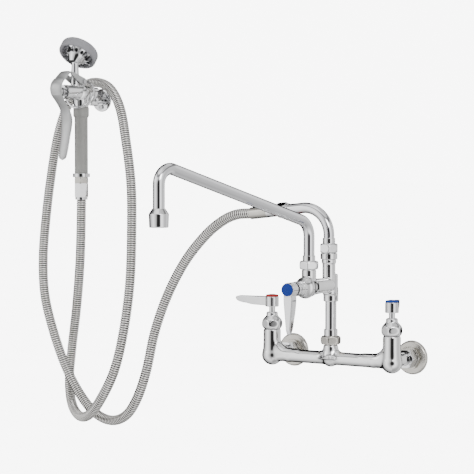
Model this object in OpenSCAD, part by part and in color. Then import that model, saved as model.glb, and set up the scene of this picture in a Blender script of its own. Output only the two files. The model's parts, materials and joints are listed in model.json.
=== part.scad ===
// Wall-mounted pre-rinse unit: two-valve mixing body, add-on tap with a swing nozzle,
// fixed gooseneck, flexible hose, and a squeeze spray valve that hangs on a wall hook.
// Origin: on the wall, midway between the two inlets. +Z up, +X to the right, wall at y = 0.

/* [Wall and inlets] */
// Distance between the hot and cold inlets
inlet_spacing = 203.2; // [202.8:0.1:203.6]
// Distance from the wall to the valve axes
valve_reach = 67; // [66:0.5:70]
// Outer radius of a wall flange
flange_r = 25.4; // [24:0.2:26]
// Thread radius of a female inlet
inlet_r = 10.2; // [10:0.1:10.5]

/* [Mixing body] */
// Radius of a valve stub
stub_r = 13.2; // [13:0.1:13.4]
// Height of the valve stubs above the inlets
stub_top = 38; // [37.5:0.5:39]
// Radius of the rounded bottom of a stub
bulb_r = 15.6; // [15.4:0.1:15.8]
// Radius of the tube between the stubs
bridge_r = 10; // [9.9:0.1:10.2]
// Bend radius of the web between a stub and the tube
elbow_r = 32; // [31:0.5:33]

/* [Levers] */
// Length of a lever from its axis to its tip
lever_l = 65; // [60:1:65]
// Height of a lever blade
lever_h = 13; // [12:0.5:14]
// Direction of the cold lever, counter-clockwise from +X
cold_heading = 110; // [108:1:112]

/* [Riser and add-on tap] */
// Radius of the riser pipe
riser_r = 8.3; // [8.2:0.1:8.4]
// Height of the add-on tap's barrel
barrel_z = 108; // [107:0.5:109]
// Radius of the add-on tap's barrel
barrel_r = 10.8; // [10.6:0.1:11]
// Distance from the wall to the swing nozzle's axis
nozzle_y = 131; // [130:0.5:132]

/* [Swing nozzle] */
// Horizontal reach of the nozzle
nozzle_reach = 305; // [295:1:305]
// Height of the lower corner
nozzle_low_z = 201; // [199:1:203]
// Height of the upper corner
nozzle_high_z = 287; // [284:1:290]
// Height of the outlet's bottom edge
outlet_z = 203; // [201:1:206]
// Direction of the nozzle, measured from -X towards the room
nozzle_heading = 80; // [75:1:85]
// Radius of the nozzle and gooseneck tubes
tube_r = 8; // [7.9:0.1:8.1]

/* [Gooseneck] */
// Distance from the wall to the gooseneck's plane
neck_y = 73; // [72:0.5:74]
// Bend radius of the gooseneck
neck_bend_r = 40; // [38:1:42]

/* [Spray valve and hook] */
// Sideways place of the spray valve and the hook
valve_x = -471; // [-472:0.5:-470]
// Height of the spray valve's cross barrel
cross_z = 400.5; // [400:0.5:401]
// Distance from the wall to the grip's axis
grip_y = 57.5; // [57:0.5:58]
// Distance from the wall to the neck's axis
spray_neck_y = 73; // [72.5:0.5:73.5]
// Radius of the grip
grip_r = 10.8; // [10.5:0.1:11]
// Outer radius of the bumper ring
bumper_r = 31.5; // [30:0.5:33]
// Tilt of the spray head towards the wall
head_tilt = 38; // [36:1:40]
// Outer radius of the hose
hose_r = 8; // [7.6:0.1:8]
// Radius of the hold-down ring, to the middle of its wire
hold_ring_r = 24.1; // [23.9:0.1:24.1]

/* [Hidden] */

$fn = 64;
eps = 0.01;
run_gap = 0.06;   // radial clearance of a turning fit
seat_gap = 0.05;  // radial clearance between assembled pieces
body_gap = 0.3;   // gap between pieces that move past each other

half_spacing = inlet_spacing / 2;
valve_y = -valve_reach;

// Inlet stack, distances from the wall
flange_plate = 5;
flange_hex_end = 12;
spigot_r = 12;
spigot_end = 20;
seal_end = 21.5;
tail_r = 9.4;
tail_flange_r = 11.6;
tail_flange_end = 24.8;
nut_start = 13;
nut_end = 28.5;
waterway_r = 6.5;

// Valve stack, measured along each valve's axis
stub_bore_r = 9;
bonnet_base = stub_top;
bonnet_hex_end = 57.5;
bonnet_end = 63;
hub_base = 71;
hub_end = 86.5;
hub_r = 10;
index_end = 89.8;
spindle_r = 5;
stem_r = 4.6;
disc_r = 7.2;
addon_axis_y = -105;
lever_tip_r = 3.2;

// Riser and gooseneck heights
outlet_top = 19.2;
riser_nut_top = 32.3;
riser_gland_top = 42;
addon_bottom = 83;
addon_socket_top = 95;
addon_column_r = 11.4;
adapter_base = 146;
adapter_top = 154.5;
neck_nut_top = 169;
neck_gland_top = 177;
neck_bend_z = 181;
neck_turn = 96;

// Nozzle heights and bends
nozzle_neck_top = 133.7;
nozzle_nut_top = 146.4;
nozzle_gland_top = 154;
nozzle_tube_base = 118;
tube_wall = 1.2;
low_bend_r = 26;
high_bend_r = 21;
outlet_top_z = 228;
nozzle_rise = atan2(nozzle_high_z - nozzle_low_z, nozzle_reach);

// Hose connection along the gooseneck's arm
arm_tube_end = 30;
connector_start = 24;
connector_hex_end = 43;
ferrule_start = 61.5;
ferrule_end = 91.5;
arm_x = -neck_bend_r * (1 - cos(neck_turn));
arm_z = neck_bend_z + neck_bend_r * sin(neck_turn);

// Spray valve heights
coupling_base = 227.5;
grip_nut_base = 254;
grip_ring_base = 264;
grip_base = 270;
grip_collar_base = 363;
grip_top = 377;
cross_r = 11.6;
cross_front = 103;
cross_back = 41;
groove_front = 37.2;
groove_back = 32;
cap_back = 27.2;
knob_r = 8;
groove_r = 6.5;
pivot_y = -64;
pivot_z = 418;
pin_r = 2.4;
neck_base_r = 8;
neck_r = 5.6;
neck_top = 447;
head_y = -64;
head_z = 464;
band_t = 3;

// Hold-down ring, hung from a lug behind the pivot
ring_y = -51;
ring_z = 419.2;
ring_turn = 10;
ring_lean = 26.2;
ring_wire_r = 1.7;

// Wall hook
hook_z = 390;
hook_plate_r = 19;
hook_screw_offset = 11.5;
peg_x = -6.5;
peg_z = 14.8;
peg_r = 6;

// Route of the hose, from the supply ferrule to the spray valve
hose_route = [[-161, -73, 209], [-187, -72, 199], [-220, -70, 176], [-258, -70, 135],
    [-289, -74, 81], [-308, -82, 23], [-320, -88, -38], [-338, -88, -83], [-364, -82, -113],
    [-398, -75, -125], [-434, -70, -117], [-467, -67, -90], [-495, -70, -45], [-517, -75, 14],
    [-534, -75, 72], [-545, -65, 133], [-552, -48, 199], [-555, -31, 265], [-551, -18, 331],
    [-536, -11, 381], [-511, -11, 408], [-477, -15, 419], [-439, -24, 409], [-406, -40, 376],
    [-385, -53, 325], [-368, -62, 253], [-357, -76, 176], [-349, -92, 98], [-351, -106, 24],
    [-364, -113, -38], [-391, -113, -86], [-424, -101, -115], [-459, -82, -121],
    [-490, -61, -105], [-508, -44, -69], [-510, -34, -17], [-499, -35, 53], [-483, -46, 133]];

function unit(v) = v / norm(v);
function hose_start() = [arm_x - ferrule_end * sin(neck_turn), -neck_y,
    arm_z + ferrule_end * cos(neck_turn)];
function hose_points() = concat([hose_start()], hose_route, [[valve_x, -grip_y, coupling_base]]);
function hose_ends() = [hose_start() + 30 * [sin(neck_turn), 0, -cos(neck_turn)],
    [valve_x, -grip_y, coupling_base + 60]];
function spline(a, b, c, d, t) = 0.5 * (2 * b + (c - a) * t
    + (2 * a - 5 * b + 4 * c - d) * t * t + (3 * b - a - 3 * c + d) * t * t * t);
function swept_path(points, ends, steps) = let(
    p = concat([ends[0]], points, [ends[1]]),
    last = len(points))
    concat([for (i = [1:last - 1], k = [0:steps - 1])
        spline(p[i - 1], p[i], p[i + 1], p[i + 2], k / steps)], [p[last]]);
function tangent(path, ends, i) = i == 0 ? unit(path[0] - ends[0])
    : i == len(path) - 1 ? unit(ends[1] - path[i]) : unit(path[i + 1] - path[i - 1]);
function arc(cx, cy, r, from, to, steps) = [for (i = [0:steps])
    [cx + r * cos(from + (to - from) * i / steps), cy + r * sin(from + (to - from) * i / steps)]];

// Stations round a bend: [x, z, direction of travel], turning by a signed angle
function bend(centre, r, from, turn, steps) = [for (i = [0:steps]) let(a = from + turn * i / steps)
    [centre[0] + r * cos(a), centre[1] + r * sin(a), a + sign(turn) * 90]];

// ---- shared shapes ----

// Thin tube through stations in the XZ plane
module bent_tube(stations) {
    sides = 24;
    count = len(stations);
    points = [for (s = stations, r = [tube_r, tube_r - tube_wall], k = [0:sides - 1])
        let(a = 360 * k / sides, out = r * cos(a))
        [s[0] - out * sin(s[2]), r * sin(a), s[1] + out * cos(s[2])]];
    function at(i, layer, k) = (2 * i + layer) * sides + k % sides;
    faces = concat(
        [for (i = [0:count - 2], k = [0:sides - 1])
            [at(i, 0, k), at(i, 0, k + 1), at(i + 1, 0, k + 1), at(i + 1, 0, k)]],
        [for (i = [0:count - 2], k = [0:sides - 1])
            [at(i, 1, k), at(i + 1, 1, k), at(i + 1, 1, k + 1), at(i, 1, k + 1)]],
        [for (k = [0:sides - 1]) [at(0, 0, k), at(0, 1, k), at(0, 1, k + 1), at(0, 0, k + 1)]],
        [for (k = [0:sides - 1], i = count - 1)
            [at(i, 0, k), at(i, 0, k + 1), at(i, 1, k + 1), at(i, 1, k)]]);
    polyhedron(points, faces);
}

// Hexagonal prism with its corners turned off like a machined nut
module hex_nut(across, h, crown) {
    intersection() {
        cylinder(d = across / cos(30), h = h, $fn = 6);
        translate([0, 0, h / 2]) sphere(r = norm([across / 2 + crown, h / 2]));
    }
}

// Cone with a concave side, from radius big at the base to radius small at height h
module flare(big, small, h) {
    rotate_extrude() polygon(concat([[0, 0], [big, 0]],
        [for (i = [1:8]) [big - (big - small) * sin(90 * i / 8), h * (1 - cos(90 * i / 8))]], [[0, h]]));
}

// Quarter bend from straight up to along +X, leaving the middle of the tube between the stubs
module elbow(r, bend_r) {
    translate([bend_r, 0, bend_r - 1]) rotate([90, 0, 0]) rotate([0, 0, 180])
        rotate_extrude(angle = 90) translate([bend_r, 0]) circle(r = r);
}

// Ring of round section
module torus(ring_r, section_r) {
    rotate_extrude() translate([ring_r, 0]) circle(r = section_r);
}

// Puts children on one of the three valve axes, +Z pointing out of the valve
module on_hot_axis() { translate([-half_spacing, valve_y, 0]) children(); }
module on_cold_axis() { translate([half_spacing, valve_y, 0]) children(); }
module on_addon_axis() { translate([0, addon_axis_y, barrel_z]) rotate([90, 0, 0]) children(); }

// Puts children on an inlet axis, +Z pointing away from the wall
module on_inlet(side) { translate([side * half_spacing, 0, 0]) rotate([90, 0, 0]) children(); }

// Puts children on the gooseneck's arm, +Z along the arm
module on_arm() { translate([arm_x, -neck_y, arm_z]) rotate([0, -neck_turn, 0]) children(); }

// Puts children on the spray valve's cross barrel, +Z pointing away from the wall
module on_cross() { translate([valve_x, 0, cross_z]) rotate([90, 0, 0]) children(); }

// Puts children on the grip's axis, heights as in the whole part
module on_grip() { translate([valve_x, -grip_y, 0]) children(); }

// Puts children at the middle of the ring's lug, +X along the lug's bore
module on_lug() { translate([valve_x, ring_y, ring_z]) rotate([0, 0, ring_turn]) children(); }

// Puts children on the spray head's axis, +Z out of the spray face
module on_head() { translate([valve_x, head_y, head_z]) rotate([-head_tilt, 0, 0]) children(); }

// ---- inlets ----

module wall_flange(side) {
    color("darkkhaki") on_inlet(side) difference() {
        union() {
            rotate_extrude() polygon(concat([[0, 0]], arc(flange_r - 2, 2, 2, -90, 0, 6),
                arc(flange_r - 5, 2, 5 - eps, 0, 60, 6), [[17, flange_plate + 2], [0, flange_plate + 2]]));
            translate([0, 0, flange_plate]) hex_nut(31, flange_hex_end - flange_plate, 1.2);
            cylinder(r = spigot_r, h = spigot_end);
        }
        translate([0, 0, -1]) cylinder(r = inlet_r, h = flange_hex_end + 1);
        cylinder(r = 7.5, h = spigot_end + 1);
    }
}
module hot_wall_flange() wall_flange(-1);
module cold_wall_flange() wall_flange(1);

module coupling_nuts() {
    color("gainsboro") for (side = [-1, 1]) on_inlet(side) difference() {
        translate([0, 0, nut_start]) hex_nut(26.5, nut_end - nut_start, 0.8);
        cylinder(r = spigot_r + seat_gap, h = tail_flange_end + 0.1);
        cylinder(r = tail_r + 0.2, h = nut_end + 1);
    }
}

module inlet_seals() {
    color("black") for (side = [-1, 1]) on_inlet(side) difference() {
        translate([0, 0, spigot_end]) cylinder(r = tail_flange_r, h = seal_end - spigot_end);
        cylinder(r = 7.4, h = 40);
    }
}

// ---- mixing body ----

module stub_solid() {
    cylinder(r = stub_r, h = stub_top);
    translate([0, 0, -2]) sphere(r = bulb_r);
    flare(15.2, stub_r - eps, 24);
}

module mixing_body() {
    color("lightgray") difference() {
        union() {
            for (side = [-1, 1]) translate([side * half_spacing, valve_y, 0]) {
                stub_solid();
                rotate([0, side * -90, 0]) flare(15, bridge_r - eps, 48);
                mirror([side > 0 ? 1 : 0, 0, 0]) elbow(10.6, elbow_r);
            }
            translate([-half_spacing, valve_y, -1]) rotate([0, 90, 0])
                cylinder(r = bridge_r, h = inlet_spacing);
            for (side = [-1, 1]) on_inlet(side) {
                translate([0, 0, seal_end]) cylinder(r = tail_flange_r, h = tail_flange_end - seal_end);
                translate([0, 0, seal_end]) cylinder(r = tail_r, h = valve_reach - seal_end);
            }
            translate([0, valve_y, -1]) flare(20, 11, outlet_top + 1);
            for (side = [-1, 1]) translate([0, valve_y, 0]) mirror([side > 0 ? 1 : 0, 0, 0]) elbow(9.6, 20);
            translate([0, valve_y, -1]) sphere(r = 13);
        }
        for (side = [-1, 1]) translate([side * half_spacing, valve_y, 0]) {
            translate([0, 0, -9]) cylinder(r = stub_bore_r, h = stub_top + 10);
        }
        translate([-half_spacing, valve_y, -1]) rotate([0, 90, 0])
            cylinder(r = waterway_r, h = inlet_spacing);
        for (side = [-1, 1]) on_inlet(side) cylinder(r = waterway_r, h = valve_reach);
        translate([0, valve_y, 8]) cylinder(r = riser_r + seat_gap, h = 20);
        translate([0, valve_y, -1]) cylinder(r = waterway_r, h = 20);
    }
}

// ---- valves: parts shared by the hot, cold and add-on valves ----

module hex_bonnet() {
    difference() {
        union() {
            translate([0, 0, bonnet_base]) rotate([0, 0, -19])
                hex_nut(28, bonnet_hex_end - bonnet_base, 0.4);
            translate([0, 0, bonnet_hex_end - 2])
                cylinder(r1 = 9.6, r2 = 7.6, h = bonnet_end - bonnet_hex_end + 2);
            translate([0, 0, bonnet_base - 4]) cylinder(r = stub_bore_r - seat_gap, h = 5);
        }
        cylinder(r = spindle_r + run_gap, h = bonnet_end + 1);
        translate([0, 0, bonnet_base - 5]) cylinder(r = 7, h = 8);
    }
}

module ring_bonnet() {
    difference() {
        union() {
            translate([0, 0, bonnet_base - 4]) cylinder(r = stub_bore_r - seat_gap, h = 18);
            translate([0, 0, 52]) cylinder(r = stub_bore_r - seat_gap, h = 6);
            translate([0, 0, 55.2]) cylinder(r = 10.6, h = 6);
            translate([0, 0, 61]) cylinder(r = 9.4, h = 2);
            translate([0, 0, bonnet_end]) cylinder(r = 10, h = 5);
        }
        cylinder(r = spindle_r + run_gap, h = 62);
        translate([0, 0, 61.9]) cylinder(r = stem_r + run_gap, h = 10);
        translate([0, 0, bonnet_base - 5]) cylinder(r = 7, h = 8);
    }
}

module cartridge() {
    color("goldenrod") difference() {
        translate([0, 0, -8]) cylinder(r = stub_bore_r - seat_gap, h = bonnet_base + 3.9);
        translate([0, 0, -4]) cylinder(r = 7.6, h = 26);
        translate([0, 0, -9]) cylinder(r = spindle_r + run_gap, h = 60);
        for (turn = [0, 90]) rotate([0, 0, turn]) translate([-12, 0, 16]) rotate([0, 90, 0])
            cylinder(r = 3, h = 24);
    }
}

module spindle() {
    color("tan") {
        translate([0, 0, 4.4]) cylinder(r = disc_r, h = 3);
        translate([0, 0, 5]) cylinder(r = spindle_r, h = 56.5);
        translate([0, 0, 61]) cylinder(r = stem_r, h = hub_base - 61);
        translate([0, 0, hub_base - 1]) cylinder(r = 4, h = 9);
    }
}

module moving_disc() {
    color("white") translate([0, 0, -3.8]) difference() {
        cylinder(r = disc_r, h = 8.1);
        for (side = [-1, 1]) translate([side * 4, 0, -1]) cylinder(r = 1.8, h = 10);
    }
}

// Lever with its hub on the axis and its blade along +X, tapering to a round tip
module lever() {
    color("silver") difference() {
        union() {
            translate([0, 0, hub_base]) cylinder(r = hub_r, h = hub_end - hub_base);
            intersection() {
                rotate([90, 0, 0]) translate([0, 0, -15]) linear_extrude(30) polygon(concat(
                    [[0, hub_base + 1], [12, hub_base + 1.6], [20, hub_end - lever_h - 0.8],
                        [34, hub_end - lever_h - 0.4]],
                    [for (i = [0:6]) [lever_l - 20 + 20 * sin(15 * i),
                        hub_end - 4 - (lever_h - 5.4) * cos(15 * i)]],
                    [[lever_l - 1, hub_end - 2.6], [lever_l - 7, hub_end - 0.8], [0, hub_end - 0.4]]));
                linear_extrude(200) hull() {
                    circle(r = 6.5);
                    translate([16, 0]) circle(r = 7.4);
                    translate([lever_l - lever_tip_r, 0]) circle(r = lever_tip_r);
                }
            }
        }
        translate([0, 0, hub_base - 1]) cylinder(r = 4 + seat_gap, h = 9.1);
        translate([0, 0, hub_base]) cylinder(r = 2.1, h = hub_end);
        translate([0, 0, hub_end - 3.5]) cylinder(r = 8.2, h = 10);
    }
}

module lever_screw() {
    color("dimgray") translate([0, 0, hub_end - 3.5]) difference() {
        union() {
            cylinder(r = 3.6, h = 2.6);
            translate([0, 0, -3.8]) cylinder(r = 2, h = 4);
        }
        translate([0, 0, 1.2]) cylinder(r = 1.6, h = 3, $fn = 6);
    }
}

// Domed index button that covers the lever screw
module index_cap(shade, cap_r) {
    color(shade) difference() {
        union() {
            translate([0, 0, hub_end - 3.5]) cylinder(r = 8.1, h = 3.6);
            translate([0, 0, hub_end]) rotate_extrude() polygon(concat([[0, 0], [cap_r, 0]],
                arc(cap_r - 1.4, 1.2, 1.4, 0, 80, 5), [[4, index_end - hub_end], [0, index_end - hub_end]]));
        }
        translate([0, 0, hub_end - 4]) cylinder(r = 4, h = 3.4);
    }
}

module hot_bonnet() color("lightgray") on_hot_axis() hex_bonnet();
module cold_bonnet() color("lightgray") on_cold_axis() hex_bonnet();
module addon_bonnet() color("lightgray") on_addon_axis() ring_bonnet();
module hot_cartridge() on_hot_axis() cartridge();
module cold_cartridge() on_cold_axis() cartridge();
module addon_cartridge() on_addon_axis() cartridge();
module hot_spindle() on_hot_axis() spindle();
module cold_spindle() on_cold_axis() spindle();
module addon_spindle() on_addon_axis() spindle();
module hot_moving_disc() on_hot_axis() moving_disc();
module cold_moving_disc() on_cold_axis() moving_disc();
module addon_moving_disc() on_addon_axis() moving_disc();
module hot_lever() on_hot_axis() rotate([0, 0, 180]) lever();
module cold_lever() on_cold_axis() rotate([0, 0, cold_heading]) lever();
module addon_lever() on_addon_axis() rotate([0, 0, -90]) lever();
module hot_lever_screw() on_hot_axis() lever_screw();
module cold_lever_screw() on_cold_axis() lever_screw();
module addon_lever_screw() on_addon_axis() lever_screw();
module hot_index() on_hot_axis() index_cap("firebrick", 9.6);
module cold_index() on_cold_axis() index_cap("mediumblue", 9.6);
module addon_button() on_addon_axis() index_cap("royalblue", 9.2);

// ---- riser ----

module riser_nut() {
    color("darkkhaki") translate([0, valve_y, outlet_top + 0.1]) difference() {
        rotate([0, 0, -18]) hex_nut(27, riser_nut_top - outlet_top - 0.1, 0.8);
        translate([0, 0, -1]) cylinder(r = riser_r + seat_gap, h = 30);
    }
}

module riser_gland() {
    color("gainsboro") translate([0, valve_y, riser_nut_top]) difference() {
        cylinder(r = 10.1, h = riser_gland_top - riser_nut_top);
        translate([0, 0, -1]) cylinder(r = riser_r + seat_gap, h = 30);
    }
}

module riser_pipe() {
    color("silver") translate([0, valve_y, 8.2]) difference() {
        cylinder(r = riser_r, h = addon_socket_top - 8.4);
        translate([0, 0, -1]) cylinder(r = waterway_r, h = 100);
    }
}

// ---- add-on tap ----

module addon_body() {
    color("lightgray") difference() {
        union() {
            translate([0, valve_y, addon_bottom]) cylinder(r = 11, h = 20);
            translate([0, valve_y - 2, addon_socket_top - 1]) cylinder(r = addon_column_r, h = 30);
            translate([0, -neck_y, barrel_z]) cylinder(r = 9.6, h = adapter_base - barrel_z - 5);
            translate([0, -neck_y, adapter_base - 6]) cylinder(r = 10.7, h = 6);
            translate([0, -nozzle_y, barrel_z]) cylinder(r = 10.5, h = nozzle_neck_top - barrel_z);
            on_addon_axis() rotate_extrude() polygon(concat([[0, -34], [barrel_r - 0.3, -34]],
                [[barrel_r + 0.5, 0], [12, 16], [13.8, 24]], arc(8.5, 37, 7.5, -28, 55, 8),
                [[11, 48], [11, 55], [0, 55]]));
        }
        translate([0, valve_y, addon_bottom - 1])
            cylinder(r = riser_r + seat_gap, h = addon_socket_top - addon_bottom + 1);
        translate([0, valve_y, addon_bottom]) cylinder(r = 6.4, h = 30);
        translate([0, -neck_y, barrel_z]) cylinder(r = 6, h = 60);
        on_addon_axis() translate([0, 0, -40]) cylinder(r = 6.2, h = 40);
        on_addon_axis() translate([0, 0, -8.5]) cylinder(r = stub_bore_r, h = 90);
        translate([0, -nozzle_y, barrel_z]) cylinder(r = 5.6, h = 60);
        translate([0, -nozzle_y, nozzle_tube_base - 0.4]) cylinder(r = 9.1, h = 30);
    }
}

// ---- swing nozzle ----

module nozzle_nut() {
    color("gainsboro") translate([0, -nozzle_y, nozzle_neck_top]) difference() {
        rotate([0, 0, -8]) hex_nut(26, nozzle_nut_top - nozzle_neck_top, 0.6);
        translate([0, 0, -1]) cylinder(r = tube_r + run_gap, h = 30);
    }
}

module nozzle_gland() {
    color("gainsboro") translate([0, -nozzle_y, nozzle_nut_top]) difference() {
        union() {
            cylinder(r = 9.1, h = nozzle_gland_top - nozzle_nut_top - 0.5);
            cylinder(r = 8.8, h = nozzle_gland_top - nozzle_nut_top);
        }
        translate([0, 0, -1]) cylinder(r = tube_r + run_gap, h = 30);
    }
}

// Stations of the nozzle's tube in its own plane: [along the reach, up, direction]
function nozzle_stations() = let(
    low_turn = 90 - nozzle_rise,
    high_turn = 90 + nozzle_rise,
    low_cut = low_bend_r * tan(low_turn / 2),
    high_cut = high_bend_r * tan(high_turn / 2),
    low_z = nozzle_low_z - low_cut,
    high_z = nozzle_high_z - high_cut)
    concat([[0, nozzle_tube_base, 90]], bend([low_bend_r, low_z], low_bend_r, 180, -low_turn, 8),
        bend([nozzle_reach - high_bend_r, high_z], high_bend_r, high_turn, -high_turn, 10),
        [[nozzle_reach, outlet_top_z - 6, -90]]);

module nozzle_tube() {
    color("lightgray") translate([0, -nozzle_y, 0]) rotate([0, 0, 180 + nozzle_heading])
        bent_tube(nozzle_stations());
}

module nozzle_o_rings() {
    color("black") for (z = [121, 127]) translate([0, -nozzle_y, z]) difference() {
        torus(tube_r, 1.04);
        translate([0, 0, -2]) cylinder(r = tube_r + 0.01, h = 4);
    }
}

module at_outlet() {
    translate([0, -nozzle_y, 0]) rotate([0, 0, 180 + nozzle_heading]) translate([nozzle_reach, 0, 0])
        children();
}

module nozzle_outlet() {
    color("gainsboro") at_outlet() difference() {
        rotate_extrude() polygon([[0, outlet_z], [12.2, outlet_z], [12.8, outlet_z + 1],
            [13.4, outlet_z + 18], [12.4, outlet_z + 19.5], [9.6, outlet_top_z - 1.2],
            [9, outlet_top_z], [0, outlet_top_z]]);
        translate([0, 0, outlet_top_z - 6]) cylinder(r = tube_r + seat_gap, h = 10);
        translate([0, 0, outlet_z + 10]) cylinder(r = waterway_r, h = 20);
        translate([0, 0, outlet_z - 1]) cylinder(r = 10.6, h = 11);
    }
}

module aerator() {
    color("gray") at_outlet() translate([0, 0, outlet_z + 1]) difference() {
        cylinder(r = 10.55, h = 8);
        for (ring = [1:3], k = [0:ring * 6 - 1]) rotate([0, 0, k * 60 / ring])
            translate([ring * 2.9, 0, -1]) cylinder(r = 0.9, h = 10, $fn = 16);
    }
}

// ---- gooseneck and hose ----

module gooseneck_adapter() {
    color("darkkhaki") translate([0, -neck_y, adapter_base]) difference() {
        cylinder(r = 12.5, h = adapter_top - adapter_base);
        translate([0, 0, -1]) cylinder(r = waterway_r, h = 30);
    }
}

module gooseneck_nut() {
    color("gainsboro") translate([0, -neck_y, adapter_top + 0.6]) difference() {
        hex_nut(25.6, neck_nut_top - adapter_top - 0.6, 0.6);
        translate([0, 0, -1]) cylinder(r = tube_r + seat_gap, h = 30);
    }
}

module gooseneck_gland() {
    color("gainsboro") translate([0, -neck_y, neck_nut_top]) difference() {
        cylinder(r = 9.2, h = neck_gland_top - neck_nut_top);
        translate([0, 0, -1]) cylinder(r = tube_r + seat_gap, h = 30);
    }
}

function gooseneck_stations() = concat([[0, adapter_top, 90]],
    bend([-neck_bend_r, neck_bend_z], neck_bend_r, 0, neck_turn, 10),
    [[arm_x - arm_tube_end * sin(neck_turn), arm_z + arm_tube_end * cos(neck_turn), 90 + neck_turn]]);

module gooseneck_tube() {
    color("lightgray") translate([0, -neck_y, 0]) bent_tube(gooseneck_stations());
}

module hose_connector() {
    color("silver") on_arm() difference() {
        union() {
            translate([0, 0, connector_start]) cylinder(r = 9.4, h = 4);
            translate([0, 0, connector_start + 3])
                hex_nut(20, connector_hex_end - connector_start - 3, 0.4);
            translate([0, 0, connector_hex_end - 1]) cylinder(r = 8.2, h = 6);
            translate([0, 0, connector_hex_end + 4])
                cylinder(r = 8.9, h = ferrule_start - connector_hex_end - 4);
        }
        translate([0, 0, connector_start - 1])
            cylinder(r = tube_r + seat_gap, h = arm_tube_end - connector_start + 1.1);
        cylinder(r = 5.5, h = 80);
    }
}

module supply_ferrule() {
    color("darkkhaki") on_arm() difference() {
        translate([0, 0, ferrule_start]) cylinder(r = 9.1, h = ferrule_end - ferrule_start);
        translate([0, 0, ferrule_start - 1]) cylinder(r = 5.5, h = 40);
    }
}

// The hose: one closed tube swept through its route
module hose() {
    sides = 10;
    ends = hose_ends();
    path = swept_path(hose_points(), ends, 2);
    rings = len(path);
    points = [for (i = [0:rings - 1])
        let(t = tangent(path, ends, i), u = unit(cross(t, [0, 1, 0])), v = cross(t, u))
        for (k = [0:sides - 1]) path[i] + hose_r * (cos(360 * k / sides) * u + sin(360 * k / sides) * v)];
    walls = [for (i = [0:rings - 2], k = [0:sides - 1]) let(n = (k + 1) % sides)
        [i * sides + k, i * sides + n, (i + 1) * sides + n, (i + 1) * sides + k]];
    near_end = [for (k = [sides - 1:-1:0]) k];
    far_end = [for (k = [0:sides - 1]) (rings - 1) * sides + k];
    color("darkgray") polyhedron(points, concat([near_end], walls, [far_end]));
}

// ---- wall hook ----

module at_hook() { translate([valve_x, 0, hook_z]) rotate([90, 0, 0]) children(); }

module hook_plate() {
    color("gainsboro") at_hook() difference() {
        rotate_extrude() polygon(concat([[0, 0]], arc(hook_plate_r - 1.5, 1.5, 1.5, -90, 60, 6),
            [[8, 4.6], [0, 4.6]]));
        for (side = [-1, 1]) translate([0, side * hook_screw_offset, -1]) cylinder(r = 2.3, h = 8);
        translate([0, 0, 1]) cylinder(r = 3, h = 8);
    }
}

module hook_screws() {
    color("dimgray") at_hook() for (side = [-1, 1]) translate([0, side * hook_screw_offset, 0]) difference() {
        union() {
            translate([0, 0, 0.2]) cylinder(r = 2.2, h = 5);
            translate([0, 0, 4.8]) cylinder(r = 4, h = 2.2);
        }
        for (turn = [0, 90]) rotate([0, 0, turn]) translate([-2.4, -0.5, 6]) cube([4.8, 1, 2]);
    }
}

// Arm with a peg that carries the hose and a fork that holds the spray valve by its groove
module hook_arm() {
    fork_z = cross_z - hook_z;
    slot = groove_r + 0.5;
    fork_y = groove_back + 0.6;
    fork_t = groove_front - groove_back - 1.2;
    color("silver") at_hook() {
        translate([0, 0, 1.2]) cylinder(r = 2.9, h = 6);
        translate([0, 0, 4.8]) cylinder(r = 6, h = 19.4);
        translate([peg_x, peg_z, 7.4]) cylinder(r = peg_r, h = 17.4);
        translate([0, 0, 7.4]) linear_extrude(14.6) hull() {
            circle(r = 5);
            translate([peg_x, peg_z]) circle(r = 4.6);
        }
        translate([0, -5.4, 14]) cylinder(r = 4.4, h = fork_y - 13);
        translate([0, 0, fork_y]) linear_extrude(fork_t) intersection() {
            translate([0, fork_z - 2]) circle(r = 13);
            difference() {
                translate([-12.4, -9]) square([24.8, fork_z + 14]);
                translate([-slot, fork_z - slot]) square([2 * slot, 30]);
            }
        }
    }
}

// ---- spray valve ----

module hose_coupling() {
    color("silver") on_grip() translate([0, 0, coupling_base]) difference() {
        union() {
            cylinder(r = 10, h = 5);
            translate([0, 0, 4]) hex_nut(20.4, grip_nut_base - coupling_base - 4, 0.6);
        }
        translate([0, 0, -1]) cylinder(r = 5.5, h = 40);
    }
}

module grip_nut() {
    color("darkkhaki") on_grip() translate([0, 0, grip_nut_base]) difference() {
        union() {
            hex_nut(20.4, grip_ring_base - grip_nut_base, 0.6);
            cylinder(r = 7.9, h = grip_base + 12 - grip_nut_base);
        }
        translate([0, 0, -1]) cylinder(r = 5.5, h = 40);
    }
}

module grip_ring() {
    color("silver") on_grip() translate([0, 0, grip_ring_base]) difference() {
        cylinder(r = 13.8, h = grip_base - grip_ring_base);
        translate([0, 0, -1]) cylinder(r = 7.9 + seat_gap, h = 40);
    }
}

module grip() {
    color("gray") on_grip() difference() {
        union() {
            translate([0, 0, grip_base]) cylinder(r = grip_r, h = grip_top - grip_base);
            translate([0, 0, grip_collar_base - 3]) cylinder(r1 = grip_r, r2 = 12.8, h = 3);
            translate([0, 0, grip_collar_base]) cylinder(r = 12.8, h = grip_top - grip_collar_base);
        }
        translate([0, 0, grip_base - 1]) cylinder(r = 7.9 + seat_gap, h = 200);
    }
}

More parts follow.
